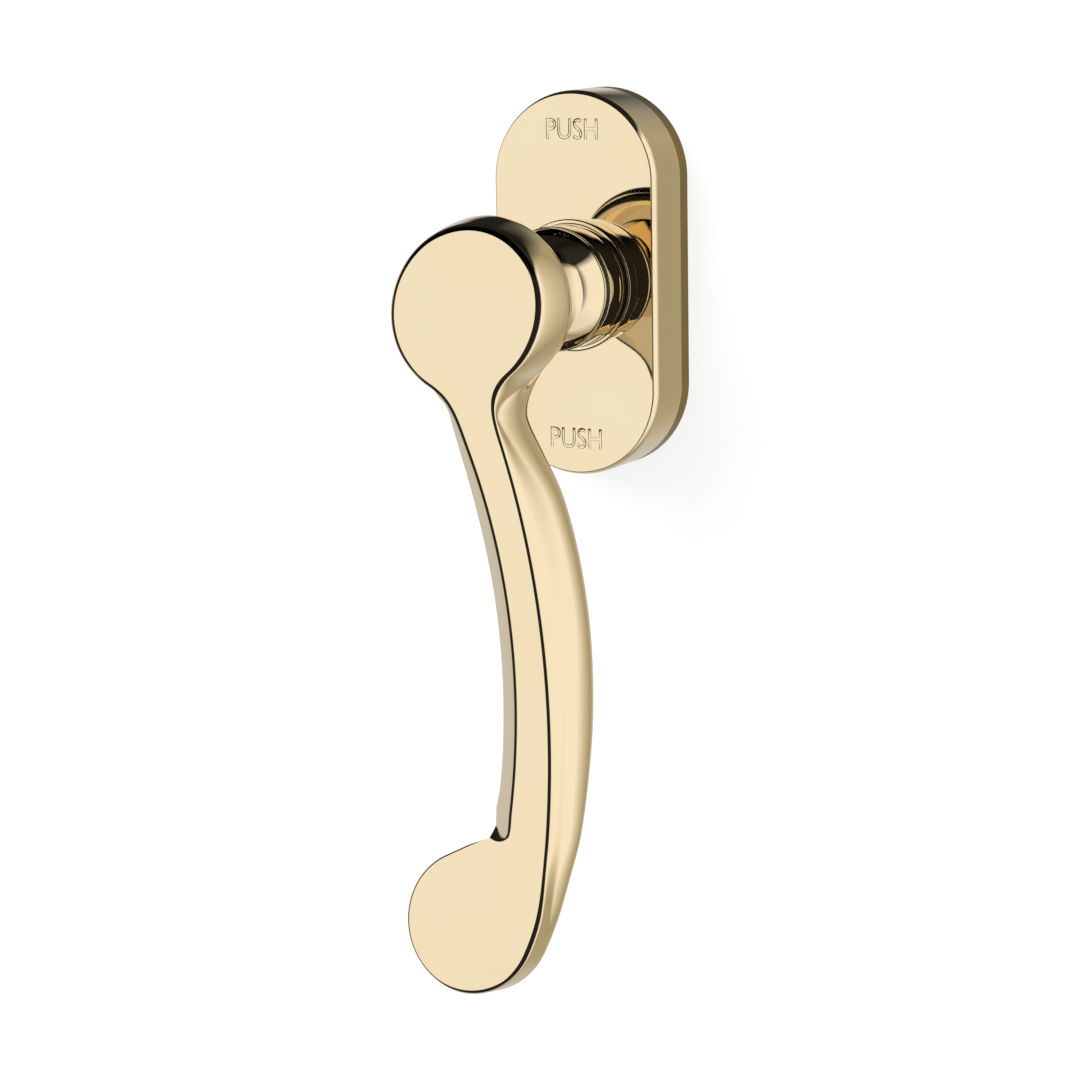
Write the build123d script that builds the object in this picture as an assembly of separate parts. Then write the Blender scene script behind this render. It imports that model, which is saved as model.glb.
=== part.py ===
from build123d import *
from math import cos, radians, sin, tan
import os

# Window handle on a stadium rosette. All sizes are in millimetres.
# Every piece is drawn on the bench: X to the right, Y up the window, Z out of the wall,
# with the wall at Z = 0 and the spindle on the Z axis. placed() then turns it to the
# part's own frame, where +Z is up and +Y points into the wall.

# Rosette
rosette_width = 32.0
rosette_height = 69.4
back_plate_thickness = 1.0
base_flange_thickness = 2.1
seam_gap = 0.05
cover_depth = 11.35
cover_wall = 1.2
cover_edge_radius = 0.8
cover_fit = 0.2
upstand_headroom = 0.4
upstand_rim = 2.6
upstand_floor = 2.4

# Fixing to the window
screw_spacing = 43.0
screw_diameter = 5.0
screw_shank_diameter = 4.5
screw_thread_clear = 2.0
screw_hole_diameter = 5.3
screw_head_diameter = 9.4
screw_head_angle = 90.0
screw_length = 50.0
screw_cross = 1.0
screw_cross_length = 4.6
screw_cross_depth = 1.6
spigot_diameter = 10.0
spigot_length = 3.0
spigot_root_diameter = 11.4
screw_seat_gap = 0.03
spigot_fit = 0.1

# Lever hub and the plane of its slanted front
hub_radius = 14.3
hub_face_height = 42.3
hub_side = 13.7
hub_edge_radius = 1.0
hub_back_radius = 2.4
hub_belly = 0.2
lever_tilt = 11.6

# Grip bar: a round bar bowed on one arc, with three facets ground on its front
bow_radius = 144.0
bow_reach = 19.4
bow_drop = 84.0
inner_flank_angle = 42.0
outer_flank_angle = 65.0
# How far the bar stands above the front plane before that facet is ground
facet_stock = 0.5
# How strongly the round back swells past the flanks, as a share of its own depth
inner_fullness = 0.4
outer_fullness = 0.75
# Stations down the bow: distance up the arc from its level point, angle of the cut, reach
# of the front facet inside and outside the arc, reach of the flanks inside and outside it,
# depth of the back behind the facet
bar_stations = [
    (79.4, 0.0, 8.5, 12.8, 0.7, 0.5, 12.0),
    (73.4, 5.0, 3.9, 5.7, 2.5, 1.2, 13.0),
    (65.3, 11.0, 2.45, 2.75, 3.7, 1.6, 14.3),
    (50.3, 15.5, 2.2, 2.3, 4.4, 2.2, 15.9),
    (30.2, 12.0, 2.25, 2.35, 4.9, 2.3, 15.7),
    (10.1, 4.0, 2.7, 2.6, 5.0, 2.1, 14.2),
    (-8.8, -3.5, 3.0, 3.3, 4.0, 1.2, 10.4),
    (-17.6, -7.0, 2.8, 3.1, 2.0, 0.7, 7.8),
    (-23.9, -9.5, 1.8, 2.2, 0.8, 0.3, 6.0),
]

# Paddle at the free end
paddle_radius = 11.8
paddle_across = 9.9
paddle_drop = 102.2
paddle_thickness = 8.6
paddle_back_radius = 2.6
# The shoulder leaves the round end along a tangent, towards the bar's inner side
shoulder_angle = 115.0
shoulder_length = 7.4
shoulder_top = -3.2
shoulder_foot = -20.1
# The cove where the inner flank runs out: its place along and inside the bow, and its depth
scoop_radius = 2.2
scoop_along = -2.4
scoop_inward = 5.1
scoop_depth = 4.4

# Collar that the neck turns in, and the ring that the cover slides on it with
collar_radius = 11.15
collar_height = 8.2
collar_groove_radius = 10.85
collar_groove_height = 3.6
collar_groove_width = 0.5
bush_seat_radius = 9.0
bush_seat_length = 3.7
boss_wall = 2.4
cover_ring_radius = 11.9
cover_ring_height = 1.6
cover_ring_wall = 0.35
cover_ring_lip = 12.4
cover_ring_lip_thickness = 0.3
ring_fit = 0.1
washer_thickness = 0.5
washer_edge = 0.25
turning_gap = 0.05

# Neck: journal, flange, bell, cove and the spigot in the hub
journal_radius = 7.0
journal_fit = 0.05
flange_radius = 11.0
flange_rim = 1.2
bell_radius = 8.6
bell_length = 4.6
bell_bulge = 0.75
waist_radius = 7.5
neck_top_radius = 9.0
neck_spigot_radius = 6.0
neck_spigot_length = 4.0

# Spindle and the screw that clamps it
spindle_square = 7.0
spindle_fit = 0.05
spindle_corner = 0.4
spindle_in_hub = 4.0
spindle_reach = 35.0
socket_relief = 0.5
grub_screw_diameter = 5.0
grub_screw_length = 3.6
grub_screw_key = 2.5
grub_screw_key_depth = 1.8
grub_screw_height = 33.0

# Detent: a square cam between two leaf springs, in a pocket closed by the back plate
cam_across_flats = 15.6
cam_corner_radius = 9.4
cam_thickness = 4.9
cam_floor_gap = 0.3
leaf_thickness = 0.8
leaf_width = 4.4
leaf_length = 27.0
leaf_gap = 0.05
leaf_room = 2.6
leaf_bend_length = 20.0
pocket_roof = 1.6

# Washer and ring that hold the neck in its bush
wave_thickness = 0.5
wave_radius = 6.6
wave_bore_radius = 5.1
ring_groove_radius = 6.2
ring_thickness = 1.0
ring_outer_radius = 8.5
ring_mouth = 5.0

# Small screws that hold the back plate
plate_screw_diameter = 2.5
plate_screw_head = 4.4
plate_screw_length = 6.0
plate_screw_across = 12.0
plate_screw_up = 17.0
plate_screw_slot = 0.6
plate_screw_slot_depth = 0.5

# Spring clips at the two ends of the base
clip_width = 6.0
clip_thickness = 0.5
clip_seat_depth = 1.35
clip_side_gap = 0.2
clip_bow_length = 6.4
clip_groove_depth = 0.3
clip_groove_height = 4.8
rivet_diameter = 1.6
rivet_head_diameter = 2.8
rivet_head_height = 0.5
rivet_below_top = 1.6

# How far a cutting body stands past the face that it opens
cut_past = 1.0

# Heights above the wall, and widths, that follow from the sizes above
flange_top = back_plate_thickness + base_flange_thickness
cover_foot = flange_top + seam_gap
cover_face = cover_foot + cover_depth
cover_ceiling = cover_face - cover_wall
upstand_top = cover_ceiling - upstand_headroom
well_floor = flange_top + upstand_floor
collar_top = cover_face + collar_height
neck_base = collar_top + washer_thickness + turning_gap
hub_front = cover_face + hub_face_height
hub_back = hub_front - hub_side
bush_end = upstand_top - bush_seat_length
cam_bottom = back_plate_thickness + cam_floor_gap
cam_top = cam_bottom + cam_thickness
wave_bottom = cam_top + turning_gap
journal_end = wave_bottom + wave_thickness + turning_gap
pocket_top = journal_end + turning_gap
ring_top = bush_end - turning_gap
ring_bottom = ring_top - ring_thickness
spindle_top = hub_back + neck_spigot_length + spindle_in_hub
socket_width = spindle_square + 2 * spindle_fit
upstand_inset = cover_wall + cover_fit
upstand_width = rosette_width - 2 * upstand_inset
upstand_height = rosette_height - 2 * upstand_inset
leaf_inner = cam_across_flats / 2 + leaf_gap
leaf_outer = leaf_inner + leaf_thickness
clip_seat = upstand_height / 2 - clip_seat_depth
clip_bow_bottom = flange_top + clip_side_gap
clip_bow_middle = clip_bow_bottom + clip_bow_length / 2
rivet_height = upstand_top - rivet_below_top
cover_hole_radius = collar_radius + ring_fit + cover_ring_wall

lever_plane = Plane(
    origin=(0, 0, hub_front),
    x_dir=(1, 0, 0),
    z_dir=(0, sin(radians(lever_tilt)), cos(radians(lever_tilt))),
)


def placed(piece):
    """The piece in the part's frame: bench Y goes up and bench Z out of the wall."""
    return Plane.XZ * piece


def stadium(height, width):
    """Upright stadium about the spindle."""
    return SlotOverall(height, width, rotation=90)


def disc(radius, bottom, top):
    """Round bar along the spindle between two heights."""
    return Pos(0, 0, bottom) * extrude(Circle(radius), top - bottom)


def square_bar(across, bottom, top, corner=0.0):
    """Square bar along the spindle between two heights."""
    outline = RectangleRounded(across, across, corner) if corner else Rectangle(across, across)
    return Pos(0, 0, bottom) * extrude(outline, top - bottom)


def turned(*edges):
    """A closed profile of radius and height, turned about the spindle."""
    profile = make_face(list(edges))
    return revolve(Plane.XZ * profile, Axis.Z)


def arc_point(distance, inward=0.0):
    """Point in the lever's plane, a distance up the bow's arc and some way inside it."""
    angle = distance / bow_radius
    radius = bow_radius - inward
    return Vector(
        bow_reach - bow_radius + radius * cos(angle),
        radius * sin(angle) - bow_drop,
    )


def hub():
    """Round hub, barrelled a little, cut off by the lever's slanted front plane."""
    top = hub_front + hub_radius * tan(radians(lever_tilt)) + cut_past
    belly = ThreePointArc(
        (hub_radius, hub_back + hub_back_radius),
        (hub_radius + hub_belly, hub_back + hub_side / 2),
        (hub_radius, top),
    )
    profile = [
        Line((0, hub_back), (hub_radius - hub_back_radius, hub_back)),
        RadiusArc(
            (hub_radius - hub_back_radius, hub_back),
            (hub_radius, hub_back + hub_back_radius),
            -hub_back_radius,
        ),
        belly,
        Line((hub_radius, top), (0, top)),
        Line((0, top), (0, hub_back)),
    ]
    body = split(turned(*profile), bisect_by=lever_plane, keep=Keep.BOTTOM)
    rim = body.edges().group_by(lambda e: -abs(lever_plane.to_local_coords(e.center()).Z))[-1]
    return fillet(rim, hub_edge_radius)


def inner_drop(flank):
    """How far the inner flank falls behind the front plane over its reach."""
    return flank * tan(radians(inner_flank_angle))


def outer_drop(flank):
    """How far the outer flank falls behind the front plane over its reach."""
    return flank * tan(radians(outer_flank_angle))


def bar_section(distance, cut, inner, outer, inner_flank, outer_flank, depth):
    """Section through a bow point: front facet with its stock, two flanks and a round back."""
    inner_inset = facet_stock / tan(radians(inner_flank_angle))
    outer_inset = facet_stock / tan(radians(outer_flank_angle))
    inner_top = (inner_inset - inner, facet_stock)
    outer_top = (outer - outer_inset, facet_stock)
    inner_side = Vector(-inner - inner_flank, -inner_drop(inner_flank))
    outer_side = Vector(outer + outer_flank, -outer_drop(outer_flank))
    # The middle of a cubic curve lies an eighth of the way to each end and three eighths to
    # each handle, and it has to reach the section's depth
    handle = (-depth - (inner_side.Y + outer_side.Y) / 8) * 4 / 3
    inner_swell = (depth + inner_side.Y) * inner_fullness
    outer_swell = (depth + outer_side.Y) * outer_fullness
    outline = make_face([
        Line(inner_top, outer_top),
        Line(outer_top, outer_side),
        Bezier(
            outer_side, (outer_side.X + outer_swell, handle),
            (inner_side.X - inner_swell, handle), inner_side,
        ),
        Line(inner_side, inner_top),
    ])
    centre = arc_point(distance)
    across = (cos(radians(cut)), sin(radians(cut)), 0)
    along = (sin(radians(cut)), -cos(radians(cut)), 0)
    return Plane(origin=(centre.X, centre.Y, 0), x_dir=across, z_dir=along) * outline


def grip_bar():
    """The bowed bar, lofted through its stations, with the front facet ground flat."""
    stock = loft([bar_section(*station) for station in bar_stations])
    return split(stock, bisect_by=Plane.XY, keep=Keep.BOTTOM)


def paddle():
    """Flat round end with a shoulder that closes the gap to the bar's inner side."""
    centre = Vector(paddle_across, -paddle_drop)
    ray = Vector(cos(radians(shoulder_angle)), sin(radians(shoulder_angle)))
    touch = centre + ray * paddle_radius
    tip = touch + Vector(ray.Y, -ray.X) * shoulder_length
    shoulder = make_face(Polyline(
        centre, touch, tip, arc_point(shoulder_top), arc_point(shoulder_foot), close=True,
    ))
    outline = Pos(centre.X, centre.Y) * Circle(paddle_radius) + shoulder
    plate = extrude(outline, -paddle_thickness)
    plate = fillet(plate.faces().sort_by(Axis.Z)[0].edges(), paddle_back_radius)
    middle = arc_point(scoop_along, scoop_inward)
    scoop = Pos(middle.X, middle.Y) * Circle(scoop_radius)
    return plate - extrude(scoop, -scoop_depth)


def lever():
    """Hub, bar and paddle in one casting, with the recess for the neck and the spindle."""
    socket = disc(neck_spigot_radius, hub_back, hub_back + neck_spigot_length)
    socket += square_bar(socket_width, hub_back, spindle_top + socket_relief)
    return (hub() - socket) + lever_plane * (grip_bar() + paddle())


def neck():
    """Turned neck: journal in the collar, flange and bell, cove, spigot in the hub."""
    bell_end = neck_base + flange_rim + bell_length
    bell_middle = (
        (flange_radius + bell_radius) / 2 + bell_bulge,
        (neck_base + flange_rim + bell_end) / 2,
    )
    cove_middle = (waist_radius, (bell_end + hub_back) / 2)
    spigot_end = hub_back + neck_spigot_length
    body = turned(
        Polyline(
            (0, journal_end),
            (journal_radius, journal_end),
            (journal_radius, neck_base),
            (flange_radius, neck_base),
            (flange_radius, neck_base + flange_rim),
        ),
        ThreePointArc((flange_radius, neck_base + flange_rim), bell_middle, (bell_radius, bell_end)),
        ThreePointArc((bell_radius, bell_end), cove_middle, (neck_top_radius, hub_back)),
        Polyline(
            (neck_top_radius, hub_back),
            (neck_spigot_radius, hub_back),
            (neck_spigot_radius, spigot_end),
            (0, spigot_end),
            (0, journal_end),
        ),
    )
    groove_bottom = ring_bottom - turning_gap
    groove_top = ring_top + turning_gap
    groove = disc(journal_radius + cut_past, groove_bottom, groove_top)
    body -= groove - disc(ring_groove_radius, groove_bottom, groove_top)
    body -= square_bar(socket_width, journal_end, spigot_end)
    return body - grub_hole()


def grub_hole():
    """Threaded hole from the neck's underside to the spindle."""
    start = Plane(origin=(0, 0, grub_screw_height), z_dir=(0, -1, 0))
    return extrude(start * Circle(grub_screw_diameter / 2), flange_radius)


def grub_screw():
    """Headless screw with a hexagon key socket, its tip on the spindle."""
    tip = Plane(origin=(0, -spindle_square / 2, grub_screw_height), z_dir=(0, -1, 0))
    body = extrude(tip * Circle(grub_screw_diameter / 2), grub_screw_length)
    key = RegularPolygon(grub_screw_key / 2, 6, major_radius=False)
    mouth = tip.offset(grub_screw_length - grub_screw_key_depth)
    return body - extrude(mouth * key, grub_screw_key_depth)


def spindle():
    """Square bar from the hub, through neck and rosette, into the window's gear."""
    return square_bar(spindle_square, -spindle_reach, spindle_top, spindle_corner)


def guide_bush():
    """Fixed collar outside the cover, with a seat pressed into the base."""
    bore = journal_radius + journal_fit
    body = disc(collar_radius, upstand_top, collar_top) + disc(bush_seat_radius, bush_end, upstand_top)
    groove_bottom = cover_face + collar_groove_height
    groove_top = groove_bottom + collar_groove_width
    groove = disc(collar_radius + cut_past, groove_bottom, groove_top)
    body -= groove - disc(collar_groove_radius, groove_bottom, groove_top)
    return body - disc(bore, bush_end, collar_top)


def thrust_washer():
    """Thin washer on the collar, under the neck's flange."""
    top = collar_top + washer_thickness
    return disc(collar_radius - washer_edge, collar_top, top) - disc(
        journal_radius + journal_fit, collar_top, top
    )


def retaining_ring():
    """Open ring in the journal's groove, behind the bush."""
    body = disc(ring_outer_radius, ring_bottom, ring_top)
    body -= disc(ring_groove_radius, ring_bottom, ring_top)
    mouth = Pos(0, -ring_outer_radius, ring_bottom) * extrude(
        Rectangle(ring_mouth, 2 * ring_outer_radius), ring_thickness
    )
    return body - mouth


def wave_washer():
    """Washer between the cam and the end of the journal."""
    top = wave_bottom + wave_thickness
    return disc(wave_radius, wave_bottom, top) - disc(wave_bore_radius, wave_bottom, top)


def detent_cam():
    """Square cam with rounded corners, on the spindle."""
    body = square_bar(cam_across_flats, cam_bottom, cam_top) & disc(
        cam_corner_radius, cam_bottom, cam_top
    )
    return body - square_bar(socket_width, cam_bottom, cam_top)


def detent_spring(side):
    """Straight leaf spring against one flat of the cam; side is 1 or -1."""
    middle = (cam_bottom + cam_top - leaf_width) / 2
    across = side * (leaf_inner + leaf_outer) / 2
    return Pos(across, 0, middle) * extrude(Rectangle(leaf_thickness, leaf_length), leaf_width)


def spring_pocket():
    """Room for the cam and the springs: wide where they bend, narrow where they rest."""
    wide = Rectangle(2 * (leaf_outer + leaf_room), leaf_bend_length)
    rest = Rectangle(2 * (leaf_outer + leaf_gap), leaf_length + 2 * leaf_gap)
    return Pos(0, 0, back_plate_thickness) * extrude(wide + rest, pocket_top - back_plate_thickness)


def plate_screw_places():
    """Corners of the rectangle that the back plate's four screws stand on."""
    return GridLocations(2 * plate_screw_across, 2 * plate_screw_up, 2, 2)


def screw_places():
    """The two fixing screws, above and below the spindle."""
    return GridLocations(0, screw_spacing, 1, 2)


def plate_screw(gap=0.0):
    """Small countersunk screw that enters from the wall side."""
    head, shank = plate_screw_head / 2, plate_screw_diameter / 2
    depth = head - shank
    cone = Pos(0, 0, depth / 2) * Cone(head + gap, shank + gap, depth)
    return cone + extrude(Circle(shank), plate_screw_length)


def back_plate_screws():
    """Four small screws as one group."""
    slot = extrude(Rectangle(plate_screw_head, plate_screw_slot), plate_screw_slot_depth)
    return Compound([place * (plate_screw() - slot) for place in plate_screw_places()])


def back_plate():
    """Thin plate against the wall that closes the pocket."""
    body = extrude(stadium(rosette_height, rosette_width), back_plate_thickness)
    for place in screw_places():
        hole = Circle(spigot_root_diameter / 2 + spigot_fit)
        body -= place * extrude(hole, back_plate_thickness)
    for place in plate_screw_places():
        body -= place * plate_screw(screw_seat_gap)
    return body - disc(wave_radius, 0, back_plate_thickness)


def fixing_screw_head(gap=0.0):
    """Countersunk head under the well's floor, with a gap all round for its seat."""
    head, shank = screw_head_diameter / 2 + gap, screw_shank_diameter / 2 + gap
    depth = (head - shank) / tan(radians(screw_head_angle / 2))
    return Pos(0, 0, well_floor - depth / 2) * Cone(shank, head, depth)


def fixing_screws():
    """Two long countersunk screws with a slimmer shank and a cross recess, as one group."""
    thread_start = -spigot_length - screw_thread_clear
    body = fixing_screw_head()
    body += disc(screw_shank_diameter / 2, thread_start, well_floor - screw_cross_depth)
    body += disc(screw_diameter / 2, well_floor - screw_length, thread_start)
    cross = Rectangle(screw_cross, screw_cross_length) + Rectangle(screw_cross_length, screw_cross)
    body -= Pos(0, 0, well_floor - screw_cross_depth) * extrude(cross, screw_cross_depth)
    return Compound([place * body for place in screw_places()])


def base_plate():
    """Die-cast base: flange, hollow upstand, boss for the bush, two spigots."""
    body = Pos(0, 0, back_plate_thickness) * extrude(
        stadium(rosette_height, rosette_width), base_flange_thickness
    )
    upstand = stadium(upstand_height, upstand_width)
    body += Pos(0, 0, flange_top) * extrude(upstand, upstand_top - flange_top)
    well = stadium(upstand_height - 2 * upstand_rim, upstand_width - 2 * upstand_rim)
    body -= Pos(0, 0, well_floor) * extrude(well, upstand_top - well_floor)
    roof = Rectangle(upstand_width - upstand_rim, leaf_length + 2 * pocket_roof)
    roof_top = pocket_top + pocket_roof
    body += Pos(0, 0, flange_top) * extrude(roof, roof_top - flange_top)
    body += disc(bush_seat_radius + boss_wall, flange_top, upstand_top)
    body -= disc(bush_seat_radius, pocket_top, upstand_top)
    body -= spring_pocket()
    spigot = disc(spigot_diameter / 2, -spigot_length, 0)
    spigot += disc(spigot_root_diameter / 2, 0, back_plate_thickness)
    screw_hole = disc(screw_hole_diameter / 2, -spigot_length, well_floor)
    for place in screw_places():
        body += place * spigot
        body -= place * (screw_hole + fixing_screw_head(screw_seat_gap))
    for place in plate_screw_places():
        body -= place * plate_screw()
    for turn in (0, 180):
        body -= Rot(0, 0, turn) * clip_notch()
        body -= Rot(0, 0, turn) * rivet()
    return body


def clip_notch():
    """Flat seat for a clip, cut into the upstand's upper end."""
    outline = Rectangle(clip_width + 2 * clip_side_gap, 2 * clip_seat_depth)
    place = Pos(0, clip_seat + clip_seat_depth, flange_top)
    return place * extrude(outline, upstand_top - flange_top)


def cover_clip():
    """Bowed strip on the upper seat; its crest snaps into the cover's groove."""
    crest = clip_seat_depth + cover_fit + clip_groove_depth - clip_side_gap / 2
    bow_top = clip_bow_bottom + clip_bow_length
    top = upstand_top - clip_side_gap
    inner, outer = clip_seat, clip_seat + clip_thickness
    outline = make_face([
        Line((inner, top), (inner, bow_top)),
        ThreePointArc(
            (inner, bow_top),
            (clip_seat + crest - clip_thickness, clip_bow_middle),
            (inner, clip_bow_bottom),
        ),
        Line((inner, clip_bow_bottom), (outer, clip_bow_bottom)),
        ThreePointArc(
            (outer, clip_bow_bottom), (clip_seat + crest, clip_bow_middle), (outer, bow_top)
        ),
        Line((outer, bow_top), (outer, top)),
        Line((outer, top), (inner, top)),
    ])
    strip = extrude(Plane.YZ * outline, clip_width / 2, both=True)
    return strip - rivet()


def rivet():
    """Rivet through the clip's upper end into the rim."""
    start = Plane(origin=(0, clip_seat - upstand_rim / 2, rivet_height), z_dir=(0, 1, 0))
    shank = extrude(start * Circle(rivet_diameter / 2), upstand_rim / 2 + clip_thickness)
    head_plane = Plane(origin=(0, clip_seat + clip_thickness, rivet_height), z_dir=(0, 1, 0))
    return shank + extrude(head_plane * Circle(rivet_head_diameter / 2), rivet_head_height)


def clip_rivets():
    """One rivet for each clip, as one group."""
    return Compound([Rot(0, 0, turn) * rivet() for turn in (0, 180)])


def cover():
    """Stadium shell with a rounded front edge, a hole for the collar and two grooves."""
    body = Pos(0, 0, cover_foot) * extrude(stadium(rosette_height, rosette_width), cover_depth)
    body = fillet(body.faces().sort_by(Axis.Z)[-1].edges(), cover_edge_radius)
    inside = stadium(rosette_height - 2 * cover_wall, rosette_width - 2 * cover_wall)
    body -= Pos(0, 0, cover_foot) * extrude(inside, cover_ceiling - cover_foot)
    body -= disc(cover_hole_radius, cover_ceiling, cover_face)
    groove_end = rosette_height / 2 - cover_wall + clip_groove_depth
    groove = Rectangle(clip_width + 4 * clip_side_gap, 2 * clip_seat_depth)
    groove_place = Pos(0, groove_end - clip_seat_depth, clip_bow_middle - clip_groove_height / 2)
    for turn in (0, 180):
        body -= Rot(0, 0, turn) * groove_place * extrude(groove, clip_groove_height)
    return body


def cover_ring():
    """Ring in the cover's hole that slides on the collar, rolled over inside."""
    top = cover_face + cover_ring_height
    lip_bottom = cover_ceiling - cover_ring_lip_thickness
    body = disc(cover_ring_radius, cover_face, top)
    body += disc(cover_hole_radius, cover_ceiling, cover_face)
    body += disc(cover_ring_lip, lip_bottom, cover_ceiling)
    rim = body.edges().filter_by(GeomType.CIRCLE).sort_by(Axis.Z)[-1]
    body = fillet(rim, cover_ring_wall)
    return body - disc(collar_radius + ring_fit, lip_bottom, top)


def main():
    pieces = {
        "lever": lever(),
        "neck": neck(),
        "grub_screw": grub_screw(),
        "spindle": spindle(),
        "detent_cam": detent_cam(),
        "wave_washer": wave_washer(),
        "retaining_ring": retaining_ring(),
        "guide_bush": guide_bush(),
        "thrust_washer": thrust_washer(),
        "cover": cover(),
        "cover_ring": cover_ring(),
        "base_plate": base_plate(),
        "back_plate": back_plate(),
        "back_plate_screws": back_plate_screws(),
        "fixing_screws": fixing_screws(),
        "detent_spring_left": detent_spring(-1),
        "detent_spring_right": detent_spring(1),
        "cover_clip_top": cover_clip(),
        "cover_clip_bottom": Rot(0, 0, 180) * cover_clip(),
        "clip_rivets": clip_rivets(),
    }
    os.makedirs("parts", exist_ok=True)
    for name, piece in pieces.items():
        export_step(placed(piece), f"parts/{name}.step")


if __name__ == "__main__":
    main()
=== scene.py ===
from math import atan2, cos, degrees, pi, radians, sin, tan

import bmesh
import bpy
from bpy.props import FloatProperty, PointerProperty, StringProperty
from mathutils import Matrix, Vector
from mathutils.geometry import interpolate_bezier


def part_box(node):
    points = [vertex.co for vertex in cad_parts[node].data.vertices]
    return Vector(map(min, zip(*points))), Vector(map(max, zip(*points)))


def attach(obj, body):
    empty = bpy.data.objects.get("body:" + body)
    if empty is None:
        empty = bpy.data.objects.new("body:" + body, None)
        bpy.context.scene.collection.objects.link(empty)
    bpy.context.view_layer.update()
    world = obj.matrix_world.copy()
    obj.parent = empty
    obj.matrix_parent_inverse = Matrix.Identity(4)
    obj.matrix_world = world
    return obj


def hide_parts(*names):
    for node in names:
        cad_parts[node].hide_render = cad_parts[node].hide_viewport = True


bl_info = {
    "name": "Window Handle",
    "version": (1, 0, 0),
    "blender": (4, 5, 0),
    "location": "View3D > Sidebar > Window Handle",
    "description": "Dresses the packed model of a polished brass window handle",
    "category": "Add Mesh",
}

MM = 0.001

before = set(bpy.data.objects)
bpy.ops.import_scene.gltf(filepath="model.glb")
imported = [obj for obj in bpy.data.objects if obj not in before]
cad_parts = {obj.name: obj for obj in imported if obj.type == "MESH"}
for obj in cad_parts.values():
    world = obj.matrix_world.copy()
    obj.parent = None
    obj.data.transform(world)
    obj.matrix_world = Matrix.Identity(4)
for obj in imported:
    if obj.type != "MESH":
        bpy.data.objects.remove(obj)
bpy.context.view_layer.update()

# The CAD bench frame has X to the right, Y up the window and Z out of the wall
BENCH = Matrix(((1, 0, 0, 0), (0, 0, -1, 0), (0, 1, 0, 0), (0, 0, 0, 1)))


def node_span(node, axis):
    """Lowest and highest place of a CAD node along one axis of the part's frame."""
    low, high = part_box(node)
    return low[axis], high[axis]


def heights(node):
    """Foot and top of a CAD node, as heights out of the wall."""
    low, high = node_span(node, 1)
    return -high, -low


# Heights out of the wall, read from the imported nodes
COVER_FOOT, COVER_FACE = heights("cover")
COLLAR_FOOT, COLLAR_TOP = heights("guide_bush")
HUB_BACK = heights("lever")[0]
NECK_BASE = COLLAR_TOP + 0.55 * MM
HUB_FRONT = COVER_FACE + 42.3 * MM
ROSETTE_HALF_WIDTH = node_span("cover", 0)[1]
ROSETTE_HALF_HEIGHT = node_span("cover", 2)[1]


# Settings that a user would change

def length(name, description, size):
    """A setting for a length, with its default in millimetres."""
    return FloatProperty(name=name, description=description, unit="LENGTH", default=size * MM)


def slope(name, description, angle):
    """A setting for an angle, with its default in degrees."""
    return FloatProperty(
        name=name, description=description, subtype="ANGLE", default=radians(angle))


def colour(name, description, code):
    """A setting for a colour, as an sRGB hex code."""
    return StringProperty(name=name, description=description + ", sRGB", default=code)


class LeverSizes(bpy.types.PropertyGroup):
    tilt: slope("Tilt", "Lean of the lever's front plane", 11.6)
    hub_flat_radius: length("Hub flat", "Radius of the hub's flat front", 13.4)
    hub_rim: length("Hub rim", "Radius of the rounded edge round the hub's front", 1.15)
    hub_back_edge: length("Hub back edge", "Radius of the hub's back edge", 2.4)
    inner_edge: length("Inner edge", "Radius of the edge between front and inner flank", 1.6)
    outer_edge: length("Outer edge", "Radius of the edge between front and outer side", 0.72)
    flank_slope: slope("Flank slope", "Slope of the facet on the inner side of the bow", 42)
    side_slope: slope("Side slope", "Slope of the bar's outer side below its edge", 65)
    paddle_radius: length("Paddle flat", "Radius of the paddle's flat front", 11.4)
    paddle_edge: length("Paddle edge", "Radius of the paddle's thin edge", 0.4)


class NeckSizes(bpy.types.PropertyGroup):
    flange_radius: length("Flange", "Radius of the neck's flange", 11.0)
    bell_radius: length("Bell", "Radius at the bell's upper end", 8.6)
    waist_radius: length("Waist", "Radius at the neck's waist", 7.5)
    top_radius: length("Top", "Radius where the neck meets the hub", 9.0)
    collar_radius: length("Collar", "Radius of the fixed collar", 11.15)


class CoverSizes(bpy.types.PropertyGroup):
    edge_radius: length("Edge", "Width of the cover's front edge", 0.66)
    edge_depth: length("Edge depth", "Depth down to which the cover's side leans in", 1.7)
    wall: length("Wall", "Thickness of the pressed cover", 1.2)
    word: StringProperty(
        name="Word", description="Word engraved at both ends of the cover", default="PUSH")
    word_height: length("Word height", "Height of the capitals", 3.85)
    word_width: length("Word width", "Width of the engraved word", 10.3)
    word_place: length("Word place", "Distance of the word from the spindle", 27.9)
    word_depth: length("Word depth", "Depth of the engraving", 0.07)
    word_slope: length("Word slope", "Width of the engraving's sloped walls", 0.11)


class FinishColours(bpy.types.PropertyGroup):
    brass: colour("Brass", "Polished brass", "F5E4C3")
    brass_shade: colour("Brass, deeper", "Deeper tone of the polished brass", "F0DCB4")
    cast_base: colour("Base", "Satin cast base", "A58F54")
    steel: colour("Steel", "Zinc-plated steel", "C9CCD0")
    plastic: colour("Washer", "Dark bearing plastic", "1C1A17")


class HandleSettings(bpy.types.PropertyGroup):
    lever: PointerProperty(type=LeverSizes)
    neck: PointerProperty(type=NeckSizes)
    cover: PointerProperty(type=CoverSizes)
    colours: PointerProperty(type=FinishColours)


# Small helpers for nodes and colours

def linear(code, shade=1.0):
    """An sRGB hex colour as linear RGBA, dimmed to a share of its brightness."""
    channels = [int(code[i:i + 2], 16) / 255 for i in (0, 2, 4)]
    bent = [c / 12.92 if c <= 0.04045 else ((c + 0.055) / 1.055) ** 2.4 for c in channels]
    return tuple(shade * c for c in bent) + (1.0,)


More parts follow.
